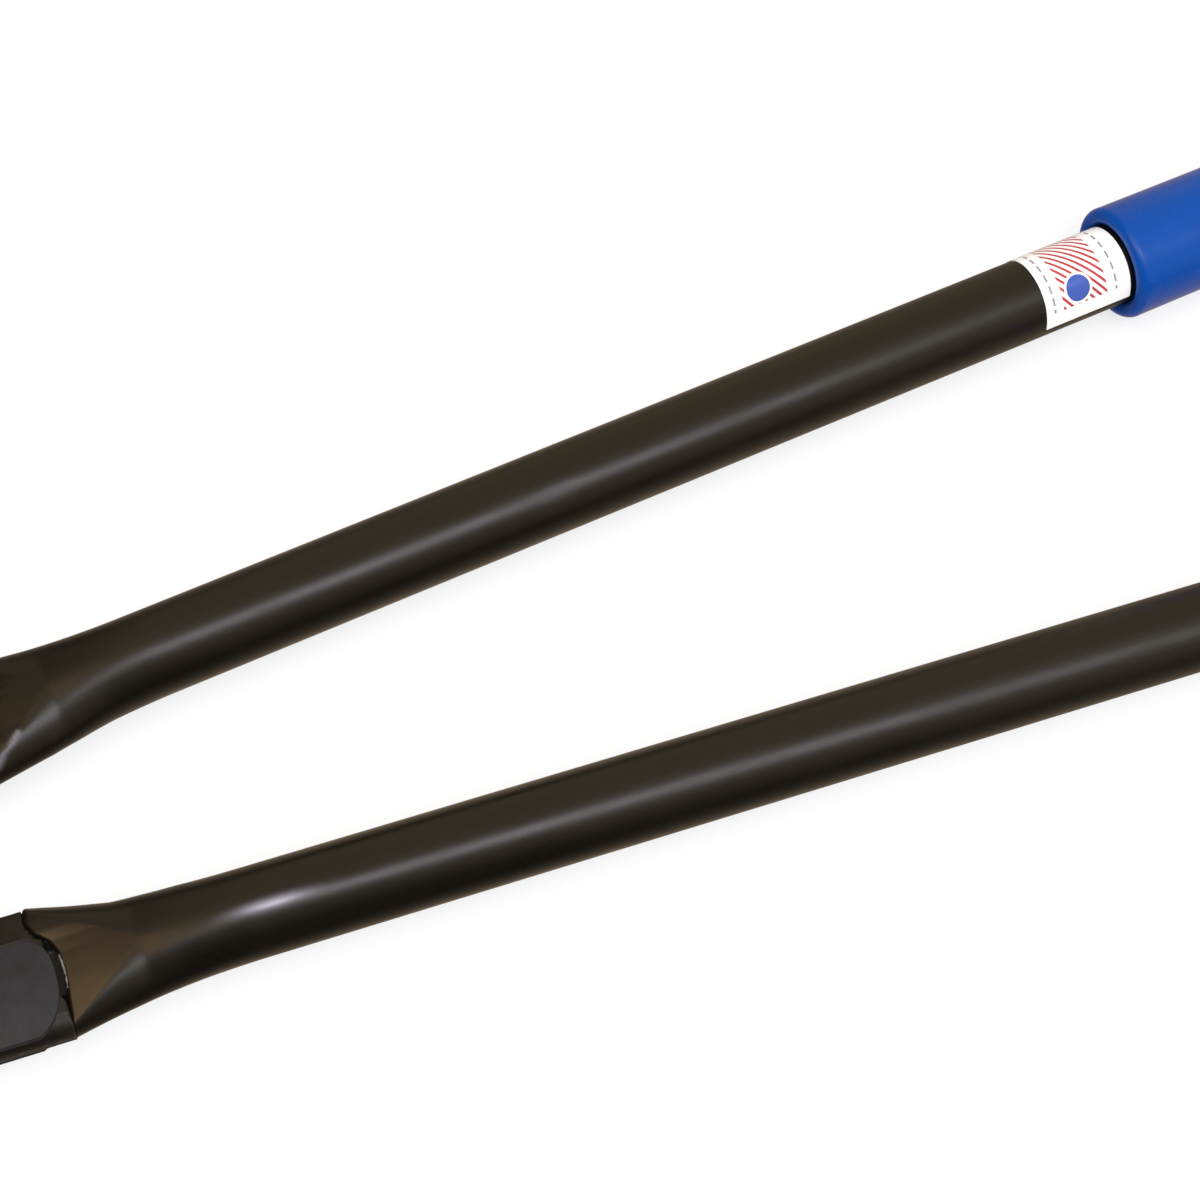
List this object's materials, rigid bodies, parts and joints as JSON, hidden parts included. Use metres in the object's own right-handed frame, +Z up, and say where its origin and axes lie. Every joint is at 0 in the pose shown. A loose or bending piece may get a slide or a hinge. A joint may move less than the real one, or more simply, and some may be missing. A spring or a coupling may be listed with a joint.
{
  "type": "bolt cutters",
  "caption": "Heavy centre-cut bolt cutters: forged jaws between straps, toggle-linked forged arms, flared black tube handles and blue vinyl grips.",
  "frame": {"origin": "on the centre bolt's axis, on the plane that the tool rests on: the middle of the lower face of the centre bolt's head", "axes": "+Z up, away from the surface that the tool lies on; +X from the jaws towards the grips, along the closed tool's centre line; +Y towards the right handle, the one with the label"},
  "size_m": [0.9065, 0.219, 0.0525],
  "materials": {
    "tube_enamel": "satin black enamel over steel tube",
    "forging_black": "matte black oxide over drop-forged steel",
    "jaw_steel": "hardened alloy steel, ground bright at the cutting edges",
    "strap_steel": "black oxide plate",
    "bolt_black": "black oxide bolts and nuts",
    "washer_zinc": "zinc-plated spring steel",
    "grip_vinyl": "satin blue vinyl",
    "label_film": "glossy white plastic film with plain coloured bars"
  },
  "bodies": {
    "right_handle": {"right_handle_forging": "forging_black", "right_handle_tube": "tube_enamel", "right_grip": "grip_vinyl", "handle_label": "label_film", "right_link_bolt": "bolt_black", "right_link_washer": "washer_zinc", "right_link_nut": "bolt_black", "stop_screw": "bolt_black", "stop_lock_nut": "washer_zinc"},
    "left_handle": {"left_handle_forging": "forging_black", "left_handle_tube": "tube_enamel", "left_grip": "grip_vinyl", "left_link_bolt": "bolt_black", "left_link_washer": "washer_zinc", "left_link_nut": "bolt_black", "centre_bolt": "bolt_black", "centre_washer": "washer_zinc", "centre_nut": "bolt_black"},
    "right_jaw": {"right_jaw": "jaw_steel"},
    "left_jaw": {"left_jaw": "jaw_steel"},
    "straps": {"top_strap": "strap_steel", "bottom_strap": "strap_steel", "jaw_bolts": "bolt_black", "jaw_bolt_washers": "washer_zinc", "jaw_bolt_nuts": "bolt_black"}
  },
  "joints": [
    {"name": "handles_open", "type": "hinge", "parent": "right_handle", "child": "left_handle", "pos_m": [0, 0, 0.02275], "axis": [0, 0, -1], "range_deg": [0, 80]},
    {"name": "right_jaw_turn", "type": "hinge", "parent": "right_handle", "child": "right_jaw", "pos_m": [-0.01174, 0.03614, 0.02275], "axis": [0, 0, -1], "range_deg": [0, 56.5]},
    {"name": "left_jaw_turn", "type": "hinge", "parent": "left_handle", "child": "left_jaw", "pos_m": [-0.01174, -0.03614, 0.02275], "axis": [0, 0, 1], "range_deg": [0, 56.5]},
    {"name": "strap_turn", "type": "hinge", "parent": "right_jaw", "child": "straps", "pos_m": [-0.06295, 0.019, 0.02275], "axis": [0, 0, 1], "range_deg": [0, 16.5]}
  ],
  "couplings": [
    {"joint": "right_jaw_turn", "follows": "handles_open", "ratio": 0.70045},
    {"joint": "left_jaw_turn", "follows": "handles_open", "ratio": 0.70045},
    {"joint": "strap_turn", "follows": "handles_open", "ratio": 0.20045}
  ]
}
